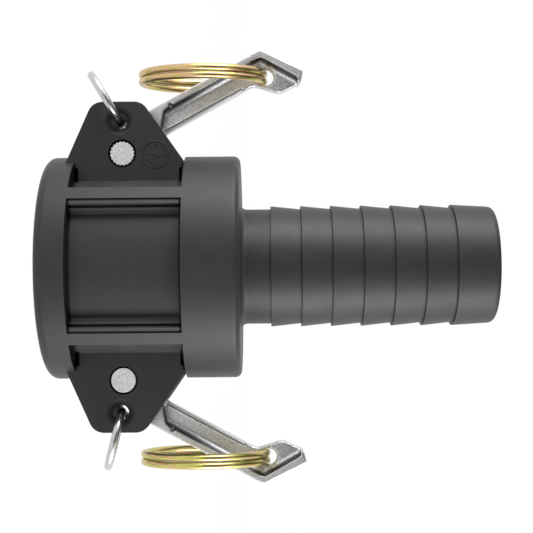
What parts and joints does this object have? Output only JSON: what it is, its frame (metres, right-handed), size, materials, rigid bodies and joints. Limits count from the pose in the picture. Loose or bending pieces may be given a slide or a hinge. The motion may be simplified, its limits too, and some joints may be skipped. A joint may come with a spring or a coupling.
{
  "type": "cam and groove coupling",
  "caption": "Female cam and groove coupling in black plastic: barbed hose shank, cam arms on pins between ears, pull rings and small safety rings.",
  "frame": {"origin": "centre of the mouth face, on the axis of the socket, where the coupling stands", "axes": "+Z along the axis from the mouth to the hose end; the pivot pins run along Y, and the ears and arms stand out along +X and -X"},
  "size_m": [0.1454, 0.075, 0.15],
  "materials": {
    "black_plastic": "satin moulded",
    "seal_rubber": "matt",
    "cast_steel": "cast, lightly blasted",
    "pin_steel": "rough end, smooth shank",
    "yellow_plating": "yellow chromated zinc",
    "nickel_plating": "bright nickel"
  },
  "bodies": {
    "coupler": {"coupler_body": "black_plastic", "seal_ring": "seal_rubber", "pivot_pin_left": "pin_steel", "pivot_pin_right": "pin_steel"},
    "arm_left": {"cam_arm_left": "cast_steel"},
    "arm_right": {"cam_arm_right": "cast_steel"},
    "pull_left": {"pull_ring_left": "yellow_plating"},
    "pull_right": {"pull_ring_right": "yellow_plating"},
    "safety_left": {"safety_ring_left": "nickel_plating"},
    "safety_right": {"safety_ring_right": "nickel_plating"}
  },
  "joints": [
    {"name": "arm_left_pivot", "type": "hinge", "parent": "coupler", "child": "arm_left", "pos_m": [-0.0373, 0, 0.026], "axis": [0, 1, 0], "range_deg": [0, 25.5]},
    {"name": "arm_right_pivot", "type": "hinge", "parent": "coupler", "child": "arm_right", "pos_m": [0.0373, 0, 0.026], "axis": [0, -1, 0], "range_deg": [0, 25.5]},
    {"name": "pull_left_swing", "type": "hinge", "parent": "arm_left", "child": "pull_left", "pos_m": [-0.06441, 0, 0.07341], "axis": [0, 1, 0], "range_deg": [-10, 170]},
    {"name": "pull_right_swing", "type": "hinge", "parent": "arm_right", "child": "pull_right", "pos_m": [0.06441, 0, 0.07341], "axis": [0, -1, 0], "range_deg": [-10, 170]},
    {"name": "safety_left_swing", "type": "hinge", "parent": "coupler", "child": "safety_left", "pos_m": [-0.048, -0.0115, 0.025], "axis": [0, -1, 0], "range_deg": [-31, 74]},
    {"name": "safety_right_swing", "type": "hinge", "parent": "coupler", "child": "safety_right", "pos_m": [0.048, -0.0115, 0.025], "axis": [0, 1, 0], "range_deg": [-14.5, 90.5]}
  ]
}
